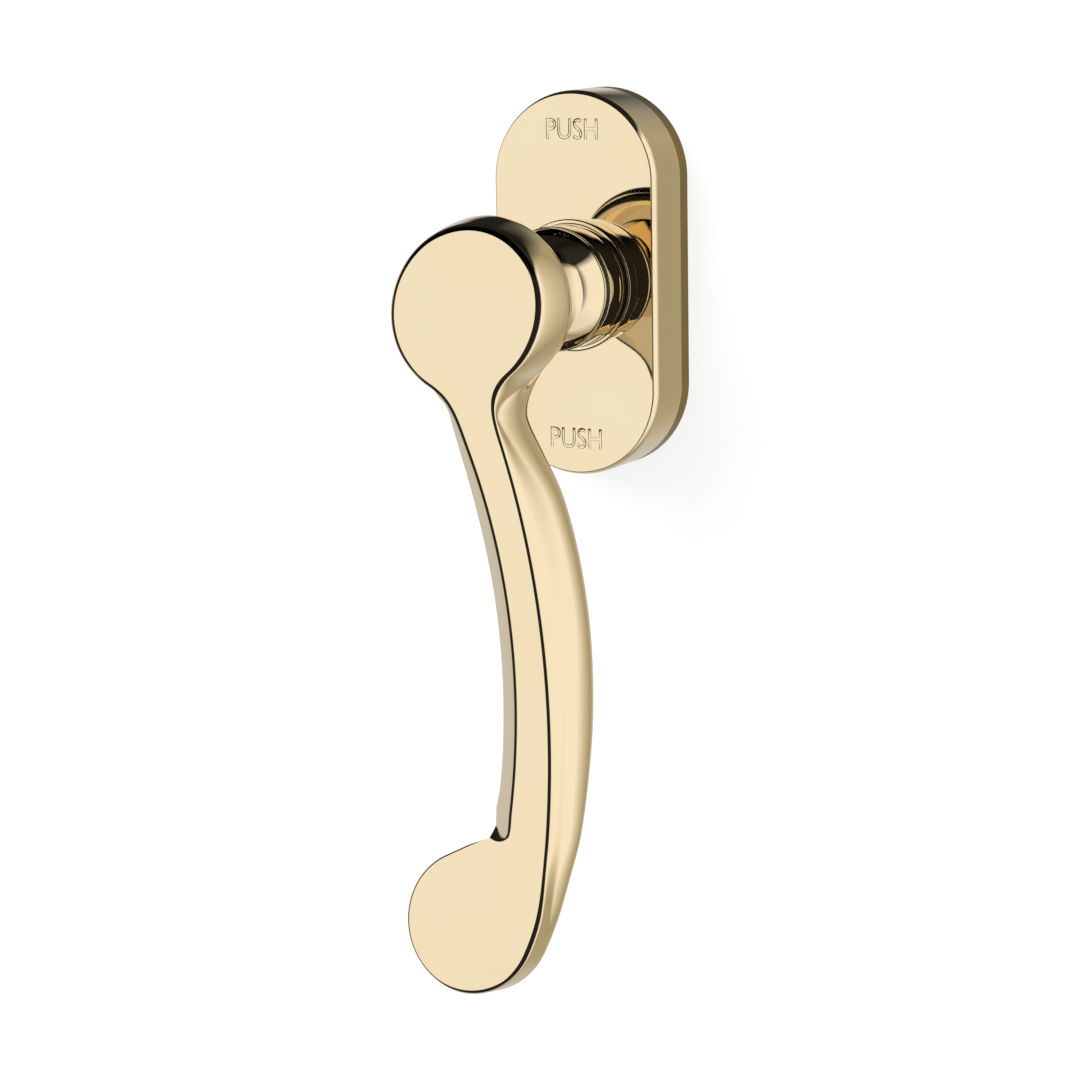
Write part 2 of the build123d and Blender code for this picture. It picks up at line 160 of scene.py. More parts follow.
def connect(tree, node, sockets):
    """Gives each named input its value, or the output that feeds it."""
    for key, value in sockets.items():
        if isinstance(value, bpy.types.NodeSocket):
            tree.links.new(value, node.inputs[key])
        else:
            node.inputs[key].default_value = value


def add_node(tree, kind, sockets=None, **settings):
    """Adds a node with its settings and inputs."""
    node = tree.nodes.new(kind)
    for name, value in settings.items():
        setattr(node, name, value)
    connect(tree, node, sockets or {})
    return node


def add_noise(tree, place, size, detail):
    """Noise with clouds about as wide as the size."""
    return add_node(tree, "ShaderNodeTexNoise", {
        "Vector": place, "Scale": 1 / size, "Detail": detail}).outputs["Fac"]


def add_range(tree, value, low, high):
    """Spreads a value between 0 and 1 over a range."""
    return add_node(tree, "ShaderNodeMapRange", {
        "Value": value, "To Min": low, "To Max": high}).outputs["Result"]


def add_blend(tree, share, first, second):
    """A colour on the way from the first to the second."""
    return add_node(tree, "ShaderNodeMix", {
        "Factor": share, "A": first, "B": second}, data_type="RGBA").outputs["Result"]


def add_bump(tree, height, distance, strength, under=None):
    """Relief from a height, on top of the relief under it."""
    sockets = {"Height": height, "Distance": distance, "Strength": strength}
    if under:
        sockets["Normal"] = under
    return add_node(tree, "ShaderNodeBump", sockets).outputs[0]


def add_math(tree, operation, *values):
    """The result of one operation on values or outputs."""
    return add_node(
        tree, "ShaderNodeMath", dict(enumerate(values)), operation=operation).outputs[0]


def cleared_tree(block):
    """The empty node tree of a material or a world."""
    block.use_nodes = True
    block.node_tree.nodes.clear()
    return block.node_tree


def new_material(name):
    """A new material with its shader and object coordinates, or the one that exists."""
    material = bpy.data.materials.get(name)
    if material:
        return material, None, None, None
    material = bpy.data.materials.new(name)
    tree = cleared_tree(material)
    shader = add_node(tree, "ShaderNodeBsdfPrincipled")
    add_node(tree, "ShaderNodeOutputMaterial", {"Surface": shader.outputs[0]})
    place = add_node(tree, "ShaderNodeTexCoord").outputs["Object"]
    return material, tree, shader, place


def polished_brass(colours, name="mirror_brass", along=(1, 1, 1)):
    """Polished brass under clear lacquer: mirror bright, pale gold, with faint buffing marks."""
    material, tree, shader, place = new_material(name)
    if not tree:
        return material
    stretch = add_node(tree, "ShaderNodeMapping", {"Vector": place, "Scale": along}).outputs[0]
    tone = add_noise(tree, place, 22 * MM, 2.0)
    marks = add_noise(tree, stretch, 0.7 * MM, 3.0)
    swell = add_noise(tree, place, 9 * MM, 1.0)
    wave = add_bump(tree, swell, 0.02 * MM, 0.15)
    connect(tree, shader, {
        "Base Color": add_blend(tree, tone, linear(colours.brass), linear(colours.brass_shade)),
        "Roughness": add_range(tree, marks, 0.015, 0.045),
        "Normal": add_bump(tree, marks, 0.0003 * MM, 0.4, wave),
        "Metallic": 1.0,
    })
    return material


def cast_base(colours):
    """Zinc casting with a dull brass plating: satin, a little uneven, olive gold."""
    material, tree, shader, place = new_material("plated_zinc_casting")
    if not tree:
        return material
    grit = add_noise(tree, place, 0.5 * MM, 4.0)
    patch = add_noise(tree, place, 8 * MM, 2.0)
    bright, dark = linear(colours.cast_base), linear(colours.cast_base, 0.72)
    connect(tree, shader, {
        "Base Color": add_blend(tree, patch, bright, dark),
        "Roughness": add_range(tree, grit, 0.28, 0.42),
        "Normal": add_bump(tree, grit, 0.02 * MM, 0.5),
        "Metallic": 1.0,
    })
    return material


def plated_steel(colours, name="bright_zinc_plate", grain=0.6 * MM):
    """Zinc-plated steel: cool grey, half bright, with a fine cloudy spangle."""
    material, tree, shader, place = new_material(name)
    if not tree:
        return material
    cloud = add_noise(tree, place, 3 * MM, 3.0)
    spangle = add_node(tree, "ShaderNodeTexVoronoi", {
        "Vector": place, "Scale": 1 / grain}).outputs["Distance"]
    bright, dull = linear(colours.steel), linear(colours.steel, 0.8)
    connect(tree, shader, {
        "Base Color": add_blend(tree, cloud, bright, dull),
        "Roughness": add_range(tree, spangle, 0.2, 0.34),
        "Normal": add_bump(tree, spangle, 0.01 * MM, 0.3),
        "Metallic": 1.0,
    })
    return material


def bearing_plastic(colours):
    """Black acetal: dense, slightly waxy, with a faint moulded texture."""
    material, tree, shader, place = new_material("black_acetal")
    if not tree:
        return material
    grain = add_noise(tree, place, 0.3 * MM, 2.0)
    connect(tree, shader, {
        "Base Color": linear(colours.plastic),
        "Roughness": add_range(tree, grain, 0.35, 0.5),
        "Normal": add_bump(tree, grain, 0.01 * MM, 0.4),
    })
    return material


# Meshes

# Points closer than this are one point, and heights closer than this are one height
WELD = 0.001 * MM
ROUND_STEPS, STADIUM_STEPS = 144, 96


def shade(bm, angle=radians(28)):
    """Smooth faces all over, with a crease where two faces meet at more than the angle."""
    for face in bm.faces:
        face.smooth = True
    for edge in bm.edges:
        if edge.is_manifold and edge.calc_face_angle(0) > angle:
            edge.smooth = False


def in_plane(item, height=0, tolerance=WELD):
    """Whether an edge or a face lies wholly at one height."""
    return all(abs(v.co.z - height) < tolerance for v in item.verts)


def add_object(name, data):
    """An object in the scene that holds the data."""
    item = bpy.data.objects.new(name, data)
    bpy.context.scene.collection.objects.link(item)
    return item


def as_mesh(bm, name):
    """Turns a bmesh into a mesh and frees it."""
    mesh = bpy.data.meshes.new(name)
    bm.to_mesh(mesh)
    bm.free()
    return mesh


def as_object(bm, name, material, place=BENCH):
    """Turns a bmesh into an object at the origin, with its place in its mesh."""
    bmesh.ops.transform(bm, matrix=place, verts=bm.verts)
    mesh = as_mesh(bm, name)
    mesh.materials.append(material)
    return add_object(name, mesh)


def register_piece(piece, body, node):
    """Hangs the piece under the empty of the body that carries it, and hides the CAD node it
    stands for.
    """
    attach(piece, body)
    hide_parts(node)


def chain(bm, points):
    """A run of vertices joined by edges."""
    verts = [bm.verts.new(point) for point in points]
    edges = [bm.edges.new(pair) for pair in zip(verts, verts[1:])]
    return verts, edges


def only_verts(made):
    """The vertices among the parts that an extrusion made."""
    return [part for part in made["geom"] if isinstance(part, bmesh.types.BMVert)]


def ring_edges(ring):
    """The edges that join the vertices of a ring to each other."""
    members = set(ring)
    touching = dict.fromkeys(e for v in ring for e in v.link_edges)
    return [e for e in touching if set(e.verts) <= members]


def arc(centre, radius, start, end, steps=5):
    """Points round a centre, from one angle to another in degrees."""
    turns = [radians(start + (end - start) * i / steps) for i in range(steps + 1)]
    return [Vector((centre[0] + radius * cos(t), centre[1] + radius * sin(t))) for t in turns]


def line(start, end, steps):
    """Evenly spaced points from one place to another."""
    return [Vector(start).lerp(Vector(end), i / steps) for i in range(steps + 1)]


def arc_through(first, middle, last, steps):
    """Points along the circular arc through three points."""
    a, b, c = (Vector(p).to_2d() for p in (first, middle, last))
    aa, bb, cc = a.length_squared, b.length_squared, c.length_squared
    d = 2 * (a.x * (b.y - c.y) + b.x * (c.y - a.y) + c.x * (a.y - b.y))
    ux = (aa * (b.y - c.y) + bb * (c.y - a.y) + cc * (a.y - b.y)) / d
    uy = (aa * (c.x - b.x) + bb * (a.x - c.x) + cc * (b.x - a.x)) / d
    start = atan2(a.y - uy, a.x - ux)
    sweep = atan2(c.y - uy, c.x - ux) - start
    way = (b - a).cross(c - b)
    if way > 0 and sweep < 0:
        sweep += 2 * pi
    if way < 0 and sweep > 0:
        sweep -= 2 * pi
    radius = (a - Vector((ux, uy))).length
    turns = [start + sweep * i / steps for i in range(steps + 1)]
    return [Vector((ux + radius * cos(t), uy + radius * sin(t))) for t in turns]


def turned(name, profile, material):
    """A ring turned on the spindle from a closed profile of radius and height."""
    bm = bmesh.new()
    verts, edges = chain(bm, [(radius, 0, height) for radius, height in profile])
    edges.append(bm.edges.new((verts[-1], verts[0])))
    bmesh.ops.spin(
        bm, geom=verts + edges, cent=(0, 0, 0), axis=(0, 0, 1), angle=2 * pi,
        steps=ROUND_STEPS, use_merge=True)
    bmesh.ops.remove_doubles(bm, verts=bm.verts, dist=WELD)
    bmesh.ops.recalc_face_normals(bm, faces=bm.faces)
    shade(bm)
    return as_object(bm, name, material)


def stadium_ring(bm, half_width, half_height, height):
    """Closed loop of edges in the shape of an upright stadium."""
    turn = Matrix.Rotation(pi / STADIUM_STEPS, 4, "Z") @ Matrix.Translation((0, 0, height))
    made = bmesh.ops.create_circle(bm, segments=STADIUM_STEPS, radius=half_width, matrix=turn)
    ring = made["verts"]
    for vert in ring:
        vert.co.y += (half_height - half_width) * (1 if vert.co.y > 0 else -1)
    return ring_edges(ring)


def move_ring(bm, edges, out, lift):
    """Extrudes a stadium ring, then shifts it outwards and along the spindle."""
    verts = only_verts(bmesh.ops.extrude_edge_only(bm, edges=edges))
    straight = ROSETTE_HALF_HEIGHT - ROSETTE_HALF_WIDTH
    for vert in verts:
        middle = Vector((0, straight if vert.co.y > 0 else -straight, vert.co.z))
        ray = (vert.co - middle).normalized()
        vert.co += ray * out + Vector((0, 0, lift))
    return ring_edges(verts)


# The lever's front outline, in millimetres of its own plane: X across, Y up from the hub

# Angles at which it leaves the hub's circle, on the left and on the right
HUB_LEAVES = (246, -48)
# How far the throats keep the hub's heading and, at the other end, the bar's
LEFT_THROAT = (5.1, 6.3)
RIGHT_THROAT = (6.2, 5.4)
LEFT_EDGE = ((3.4, -23.5), (12.0, -45.5), (16.4, -83.6))
COVE = ((16.4, -86.0), (15.3, -88.0), (12.3, -87.9))
SHOULDER = ((12.3, -87.9), (4.27, -92.12))
PADDLE_CENTRE = Vector((9.6, -102.2))
RIGHT_EDGE = ((8.8, -23.2), (17.3, -47.8), (22.5, -90.0))
# The right side joins the paddle's circle at this angle, by a curve with these pulls
RIGHT_JOIN, RIGHT_END = -20, (7.0, 6.0)
# Numbers of the stretches below the bar, counted from the hub's as 0
COVE_STRETCH, SHOULDER_STRETCH = 3, 4
# Heights between which the hub's profile turns into the bar's, and the bar's into the paddle's
THROAT_PASSAGE = {"left": (-8.5, -13.5), "right": (-9.0, -18.0)}
PADDLE_PASSAGE = (-86, -106)
# Heights between which the paddle's edge grows fuller down its right side
EDGE_PASSAGE = (-88, -101)
# Places down the lever, and there: the body's depth behind the front plane, how far the outer
# side swells past the front's edge, and the reach of the inner flank
BODY_ALONG = (
    (-10.0, 12.3, 1.4, 1.0),
    (-15.0, 12.5, 1.6, 1.5),
    (-18.5, 13.0, 2.0, 2.7),
    (-23.5, 14.0, 2.6, 3.4),
    (-32.0, 15.6, 3.6, 4.15),
    (-49.0, 15.9, 3.8, 4.65),
    (-66.0, 15.0, 3.2, 5.0),
    (-80.0, 12.7, 2.7, 5.2),
    (-86.0, 11.5, 2.5, 6.0),
    (-91.0, 10.6, 2.2, 5.4),
    (-99.0, 9.2, 1.5, 4.0),
    (-106.0, 8.6, 0.6, 4.0),
    (-116.0, 8.6, 0.4, 4.0),
)
HUB_STEPS, THROAT_STEPS, BAR_STEPS = 44, 36, 60
COVE_STEPS, SHOULDER_STEPS, PADDLE_STEPS = 16, 14, 40
FINE_STEPS = 200
PROFILE_STEPS = (5, 8, 14, 14, 2)
FLANK_RINGS = sum(PROFILE_STEPS[:2])


def ease(value):
    """Smooth step between 0 and 1."""
    value = min(max(value, 0.0), 1.0)
    return value * value * (3 - 2 * value)


def passed(down, passage):
    """0 above a passage, 1 below it, and smooth on the way."""
    top, foot = passage
    return ease((top - down) / (top - foot))


def slope_at(rows, i, column):
    """Slope of one column at a row, from its neighbours."""
    above, below = rows[max(i - 1, 0)], rows[min(i + 1, len(rows) - 1)]
    return (below[column] - above[column]) / (below[0] - above[0])


def body_at(down):
    """Depth, swell and flank reach at a place down the lever, in metres."""
    rows = BODY_ALONG
    down = min(max(down, rows[-1][0]), rows[0][0])
    i = max(n for n in range(len(rows) - 1) if rows[n][0] >= down)
    span = rows[i + 1][0] - rows[i][0]
    t = (down - rows[i][0]) / span
    values = []
    for column in (1, 2, 3):
        start, end = rows[i][column], rows[i + 1][column]
        out = slope_at(rows, i, column) * span
        into = slope_at(rows, i + 1, column) * span
        values.append(MM * (
            start * (2 * t ** 3 - 3 * t ** 2 + 1) + out * (t ** 3 - 2 * t ** 2 + t)
            + end * (3 * t ** 2 - 2 * t ** 3) + into * (t ** 3 - t ** 2)))
    return values


def resample(points, count):
    """The same path with evenly spaced points."""
    lengths = [0.0]
    for a, b in zip(points, points[1:]):
        lengths.append(lengths[-1] + (b - a).length)
    made, spot = [], 0
    for i in range(count + 1):
        wanted = lengths[-1] * i / count
        while spot < len(points) - 2 and lengths[spot + 1] < wanted:
            spot += 1
        share = (wanted - lengths[spot]) / (lengths[spot + 1] - lengths[spot])
        made.append(points[spot].lerp(points[spot + 1], share))
    return made


def curve(start, leave, arrive, end, steps):
    """Points along a curve that leaves and arrives towards two handles."""
    handles = [p.to_3d() for p in (start, leave, arrive, end)]
    return [p.to_2d() for p in interpolate_bezier(*handles, steps + 1)]


def throat(above, below, pulls):
    """A curve that carries one stretch on into the next without a kink."""
    start, end = above[-1], below[0]
    leave = start + pulls[0] * (above[-1] - above[-2]).normalized()
    arrive = end - pulls[1] * (below[1] - below[0]).normalized()
    return curve(start, leave, arrive, end, THROAT_STEPS)


def joined(stretches):
    """One path from several, with the number of its stretch for each point."""
    points, marks = [], []
    for number, stretch in enumerate(stretches):
        fresh = stretch if number == 0 else stretch[1:]
        points += fresh
        marks += [number] * len(fresh)
    return points, marks


def paddle_arc(sizes, first, last):
    """Points round the paddle, from one angle to another in radians."""
    radius = sizes.paddle_radius / MM
    turns = [first + (last - first) * i / PADDLE_STEPS for i in range(PADDLE_STEPS + 1)]
    return [PADDLE_CENTRE + radius * Vector((cos(t), sin(t))) for t in turns]


def left_outline(sizes):
    """From the hub's top, down the left side, to the paddle's foot, with a mark for each point."""
    start = Vector(SHOULDER[1]) - PADDLE_CENTRE
    hub = arc((0, 0), sizes.hub_flat_radius / MM, 90, HUB_LEAVES[0], HUB_STEPS)
    edge = arc_through(*LEFT_EDGE, BAR_STEPS)
    return joined([
        hub,
        throat(hub, edge, LEFT_THROAT),
        edge,
        line(LEFT_EDGE[2], COVE[0], COVE_STEPS),
        line(*SHOULDER, SHOULDER_STEPS),
        paddle_arc(sizes, atan2(start.y, start.x), 1.5 * pi),
    ])


def right_outline(sizes):
    """The same down the right side, with as many points."""
    circle = paddle_arc(sizes, radians(RIGHT_JOIN), -0.5 * pi)
    edge = arc_through(*RIGHT_EDGE, FINE_STEPS)
    upper = [p for p in edge if p.y >= LEFT_EDGE[2][1]]
    lower = [p for p in edge if p.y < LEFT_EDGE[2][1]]
    rest = [upper[-1]] + lower + throat(edge, circle, RIGHT_END)[1:] + circle[1:]
    hub = arc((0, 0), sizes.hub_flat_radius / MM, 90, HUB_LEAVES[1], HUB_STEPS)
    return joined([
        hub,
        throat(hub, upper, RIGHT_THROAT),
        resample(upper, BAR_STEPS),
        resample(rest, COVE_STEPS + SHOULDER_STEPS + PADDLE_STEPS),
    ])


# The lever's profiles, from the front outline outwards and back: reach, depth, heading

# Where the sides of the bar meet the back, inside the outline
BAR_BACK = (-0.8 * MM, -1.1 * MM)
# How far the handles of a stretch reach, as a share of its length: where it turns by less
# than this many degrees, and where it turns by more
ROUND_TURN, SLIGHT_PULL, ROUND_PULL = 60, 1 / 3, 0.39


def profile_from(knots):
    """Samples a profile given by knots of reach, depth and heading in degrees."""
    samples = [Vector(knots[0][:2])]
    for start, end, steps in zip(knots, knots[1:], PROFILE_STEPS):
        a, b = Vector(start[:2]), Vector(end[:2])
        turn = abs(end[2] - start[2])
        handle = (b - a).length * (SLIGHT_PULL if turn < ROUND_TURN else ROUND_PULL)
        leave = a + handle * Vector((cos(radians(start[2])), sin(radians(start[2]))))
        arrive = b - handle * Vector((cos(radians(end[2])), sin(radians(end[2]))))
        samples += curve(a, leave, arrive, b, steps)[1:]
    return samples


def edge_knots(radius, angle):
    """The rounded edge from the front plane over to a side that falls at the angle."""
    return [(0, 0, 0), (radius * sin(angle), radius * (1 - cos(angle)), degrees(angle))]


def hub_profile(sizes, depth):
    """The hub's side: rounded front edge, slight belly, rounded back edge."""
    rim, back = sizes.hub_rim, sizes.hub_back_edge
    belly, fullest, inside = 0.9 * MM, 0.6, 4.4 * MM
    return profile_from([
        (0, 0, 0),
        (rim, rim * 1.02, 78),
        (rim + belly, depth * fullest, 86),
        (rim, depth - back, 92),
        (rim - back, depth, 180),
        (-inside, depth, 180),
    ])


def right_profile(sizes, depth, swell):
    """The bar's outer side: thin edge, steep side, full curve round to the back."""
    fullest, bend, lean = 0.72 * depth, 5, radians(10)
    heading = degrees(sizes.side_slope)
    steep, upright = tan(radians(90 - heading - bend / 2)), tan(lean)
    drop = max((swell - upright * fullest) / (steep - upright), 2 * sizes.outer_edge)
    return profile_from(edge_knots(sizes.outer_edge, sizes.side_slope) + [
        (drop * steep, drop, heading + bend),
        (swell, fullest, 90),
        (BAR_BACK[0], depth, 180),
        (BAR_BACK[1], depth, 180),
    ])


def left_profile(sizes, depth, flank):
    """The bar's inner side: fuller edge, ground flank, curve round to the back."""
    bend, bulge, curl = 4, 0.9 * MM, 2.4 * MM
    drop = flank * tan(sizes.flank_slope)
    return profile_from(edge_knots(sizes.inner_edge, sizes.flank_slope) + [
        (flank, drop, degrees(sizes.flank_slope) + bend),
        (flank + bulge, max(0.55 * depth, drop + curl), 90),
        (BAR_BACK[0], depth, 180),
        (BAR_BACK[1], depth, 180),
    ])


def paddle_profile(edge, depth):
    """The paddle's side: thin edge, upright wall, rounded back edge."""
    back, inside = 2.6 * MM, 0.6 * MM
    return profile_from([
        (0, 0, 0),
        (edge, edge * 1.05, 90),
        (edge, depth * 0.5, 90),
        (edge, depth - back, 90),
        (edge - back, depth, 180),
        (edge - back - inside, depth, 180),
    ])


def paddle_edge(sizes, point, side):
    """Radius of the paddle's front edge: thin on the left, fuller round the lower right."""
    fuller, begins = 0.45 * MM, 0.85
    if side == "left":
        off = point - PADDLE_CENTRE
        across = off.x / (sizes.paddle_radius / MM)
        share = ease((across + begins) / begins) if off.y < 0 else 0.0
    else:
        share = passed(point.y, EDGE_PASSAGE)
    return sizes.paddle_edge + fuller * share


def outward(points, i):
    """Unit vector out of the outline at one of its points."""
    ahead, behind = points[(i + 1) % len(points)], points[i - 1]
    way = (behind - ahead).normalized()
    return Vector((-way.y, way.x))


def lever_rows(sizes):
    """The profiles' points round the outline, in the lever's own axes, with their marks."""
    left, left_marks = left_outline(sizes)
    right, right_marks = right_outline(sizes)
    loop = left + right[-2:0:-1]
    marks = [("left", m) for m in left_marks] + [("right", m) for m in right_marks[-2:0:-1]]
    lean = tan(sizes.tilt)
    rows = []
    for i, (point, (side, mark)) in enumerate(zip(loop, marks)):
        way = outward(loop, i)
        depth, swell, flank = body_at(point.y)
        wall = (HUB_FRONT - HUB_BACK - point.y * MM * sin(sizes.tilt)) * cos(sizes.tilt)
        hub = hub_profile(sizes, wall)
        if side == "left":
            bar = left_profile(sizes, depth, flank)
        else:
            bar = right_profile(sizes, depth, swell)
        share = passed(point.y, THROAT_PASSAGE[side])
        samples = [a.lerp(b, share) for a, b in zip(hub, bar)]
        if mark >= COVE_STRETCH:
            end = paddle_profile(paddle_edge(sizes, point, side), depth)
            blend = 1.0 if side == "left" else passed(point.y, PADDLE_PASSAGE)
            samples = [a.lerp(b, blend) for a, b in zip(samples, end)]
        row = []
        for reach, drop in samples:
            spot = point * MM + way * reach
            row.append(Vector((spot.x, spot.y + drop * lean * (1 - share), -drop)))
        rows.append(row)
    return rows, marks


# The cove: the length of its steep wall, how its rows close up, how its wall curls over
COVE_RUN, COVE_CLOSING, COVE_CURL = 1.6 * MM, 1.6, 1.3
# Points along the shoulder over which its side grows out of the crest's end
SHOULDER_START = 6
# Only the lever's front and its back are faces with more corners than this
MANY_CORNERS = 60


def cove_crest(floor, after):
    """The line in which the cove ends: on the front plane, then down the shoulder's side."""
    crest = arc_through(*COVE, FINE_STEPS)
    narrow = (COVE[0][0] - COVE[2][0]) / (floor[0].x - floor[FLANK_RINGS].x)
    top = []
    for low in floor[:FLANK_RINGS + 1]:
        across = COVE[0][0] - (floor[0].x - low.x) * narrow
        nearest = min(crest, key=lambda point: abs(point.x - across))
        top.append((nearest * MM).to_3d())
    fall = (SHOULDER[1][1] - SHOULDER[0][1]) / (SHOULDER[1][0] - SHOULDER[0][0])
    for low, high in zip(floor[FLANK_RINGS + 1:], after[FLANK_RINGS + 1:]):
        over = min(low.x - high.x, 0)
        top.append(Vector((high.x + over, high.y + over * fall, high.z)))
    return top


def carve_cove(rows, marks):
    """Ends the left flank in a cove that rises to the paddle's flat front."""
    spots = [i for i, mark in enumerate(marks) if mark == ("left", COVE_STRETCH)]
    shoulder = [i for i, mark in enumerate(marks) if mark == ("left", SHOULDER_STRETCH)]
    floor = rows[spots[0] - 1]
    top = cove_crest(floor, rows[shoulder[0]])
    for number, i in enumerate(spots, 1):
        share = 1 - (1 - number / len(spots)) ** COVE_CLOSING
        row = []
        for k, (low, high) in enumerate(zip(floor, top)):
            mixed = low.lerp(high, share)
            if k <= FLANK_RINGS:
                start = 1 - COVE_RUN / (low.y - high.y)
                climb = (max(share - start, 0) / (1 - start)) ** COVE_CURL
                mixed.x = low.x + (high.x - low.x) * climb
                mixed.z = low.z + (high.z - low.z) * climb
            row.append(mixed)
        rows[i] = row
    for number, i in enumerate(shoulder):
        share = ease(number / SHOULDER_START)
        first, row = rows[i][0].copy(), rows[i]
        for k, point in enumerate(row):
            if k <= FLANK_RINGS:
                row[k] = first.lerp(point, share)
            elif point.x > floor[k].x:
                row[k] = top[k].copy()


def draw_back(bm, rows):
    """Draws the front outline back through its rows, ring by ring."""
    spot = bm.verts.layers.int.new("spot")
    verts, edges = chain(bm, [row[0] for row in rows])
    edges.append(bm.edges.new((verts[-1], verts[0])))
    for i, vert in enumerate(verts):
        vert[spot] = i
    for k in range(1, len(rows[0])):
        ring = only_verts(bmesh.ops.extrude_edge_only(bm, edges=edges))
        for vert in ring:
            vert.co = rows[vert[spot]][k]
        edges = ring_edges(ring)


def build_lever_mesh(sizes):
    """The whole casting: its sides, then its flat front and its back, each closed by one face."""
    rows, marks = lever_rows(sizes)
    carve_cove(rows, marks)
    bm = bmesh.new()
    draw_back(bm, rows)
    bmesh.ops.remove_doubles(bm, verts=bm.verts, dist=2 * WELD)
    flat = [f for f in bm.faces if in_plane(f, 0, 2 * WELD)]
    bmesh.ops.delete(bm, geom=flat, context="FACES_KEEP_BOUNDARY")
    rim = [e for e in bm.edges if e.is_boundary and in_plane(e, 0, 2 * WELD)]
    bmesh.ops.contextual_create(bm, geom=rim)
    bmesh.ops.holes_fill(bm, edges=[e for e in bm.edges if e.is_boundary], sides=0)
    bmesh.ops.recalc_face_normals(bm, faces=bm.faces)
    shade(bm, radians(40))
    for face in bm.faces:
        if len(face.verts) > MANY_CORNERS:
            face.smooth = False
    return bm


def lever_place(sizes):
    """From the lever's own axes to the part's frame."""
    lean = Matrix.Rotation(-sizes.tilt, 4, "X")
    return BENCH @ Matrix.Translation((0, 0, HUB_FRONT)) @ lean


class HANDLE_OT_lever(bpy.types.Operator):
    """Models the cast lever: hub, bowed grip bar with its facets, and paddle"""
    bl_idname = "handle.lever"
    bl_label = "Lever"

    def execute(self, context):
        settings = context.scene.window_handle
        bm = build_lever_mesh(settings.lever)
        material = polished_brass(settings.colours)
        piece = as_object(bm, "lever_casting", material, lever_place(settings.lever))
        register_piece(piece, "lever", "lever")
        return {"FINISHED"}


# Turned parts: each profile is a closed run of radius and height

# The neck turns in the collar on its journal
NECK_BORE, JOURNAL, COLLAR_BORE = 5.2 * MM, 7.0 * MM, 7.05 * MM


def neck_profile(sizes):
    """Journal, flange, bell and cove, up to the hub."""
    foot = heights("neck")[0]
    rim = NECK_BASE + 1.2 * MM
    bell_end = rim + 4.6 * MM
    edge, step, bulge = 0.3 * MM, 0.15 * MM, 0.1 * MM
    outer = sizes.flange_radius
    profile = [
        (NECK_BORE, foot), (JOURNAL - edge, foot), (JOURNAL, foot + edge), (JOURNAL, NECK_BASE)]
    profile += arc((outer - edge, NECK_BASE + edge), edge, -90, 0)
    profile += arc((outer - edge, rim - edge), edge, 0, 60, 3)
    bell = arc_through(
        (outer - step, rim),
        ((outer + sizes.bell_radius) / 2 + bulge, (rim + bell_end) / 2),
        (sizes.bell_radius, bell_end), 14)
    cove = arc_through(
        (sizes.bell_radius, bell_end),
        (sizes.waist_radius, (bell_end + HUB_BACK) / 2),
        (sizes.top_radius, HUB_BACK), 24)
    return profile + bell + cove[1:] + [(NECK_BORE, HUB_BACK)]


def collar_profile(sizes):
    """The fixed collar: a seat in the base, a plain band with one groove, a rounded top."""
    radius, edge, seat = sizes.collar_radius, 0.25 * MM, 9.0 * MM
    shelf = COLLAR_FOOT + 3.7 * MM
    groove, width, depth, slant = COVER_FACE + 3.6 * MM, 0.5 * MM, 0.3 * MM, 0.05 * MM
    return [
        (COLLAR_BORE, COLLAR_FOOT), (seat, COLLAR_FOOT), (seat, shelf), (radius, shelf),
        (radius, groove - slant),
        (radius - depth, groove + slant), (radius - depth, groove + width - slant),
        (radius, groove + width + slant),
        *arc((radius - edge, COLLAR_TOP - edge), edge, 0, 90),
        (COLLAR_BORE, COLLAR_TOP),
    ]


def ring_profile():
    """The cover's ring: a lip under the cover, a sleeve through its hole, a rounded top."""
    inner, sleeve, outer, lip = 11.25 * MM, 11.6 * MM, 11.9 * MM, 12.35 * MM
    lip_height, edge = 0.3 * MM, 0.3 * MM
    foot, top = heights("cover_ring")
    return [
        (inner, foot), (lip, foot), (lip, foot + lip_height), (sleeve, foot + lip_height),
        (sleeve, COVER_FACE), (outer, COVER_FACE),
        *arc((outer - edge, top - edge), edge, 0, 90),
        (inner, top),
    ]


def washer_profile(sizes):
    """The dark washer, a little smaller than the collar it lies on."""
    foot, top = heights("thrust_washer")
    edge, outer = 0.12 * MM, sizes.collar_radius - 0.25 * MM
    return [
        (COLLAR_BORE, foot),
        *arc((outer - edge, foot + edge), edge, -90, 0, 3),
        *arc((outer - edge, top - edge), edge, 0, 90, 3),
        (COLLAR_BORE, top),
    ]


class HANDLE_OT_neck(bpy.types.Operator):
    """Turns the neck with its flange, bell and cove"""
    bl_idname = "handle.neck"
    bl_label = "Neck"

    def execute(self, context):
        settings = context.scene.window_handle
        brass = polished_brass(settings.colours)
        piece = turned("neck_turning", neck_profile(settings.neck), brass)
        register_piece(piece, "lever", "neck")
        return {"FINISHED"}


class HANDLE_OT_collar(bpy.types.Operator):
    """Turns the fixed collar, the cover's ring and the dark washer"""
    bl_idname = "handle.collar"
    bl_label = "Collar, ring and washer"

    def execute(self, context):
        settings = context.scene.window_handle
        brass = polished_brass(settings.colours)
        bush = turned("collar_turning", collar_profile(settings.neck), brass)
        register_piece(bush, "base", "guide_bush")
        ring = turned("cover_ring_turning", ring_profile(), brass)
        register_piece(ring, "cover", "cover_ring")
        plastic = bearing_plastic(settings.colours)
        washer = turned("washer_disc", washer_profile(settings.neck), plastic)
        register_piece(washer, "base", "thrust_washer")
        return {"FINISHED"}


# The cover

COVER_HOLE = 11.55 * MM
# As shares of the letters' size: how much their strokes are thickened, and how near two
# points lie that are joined
LETTER_WEIGHT, LETTER_WELD = 0.016, 0.0002


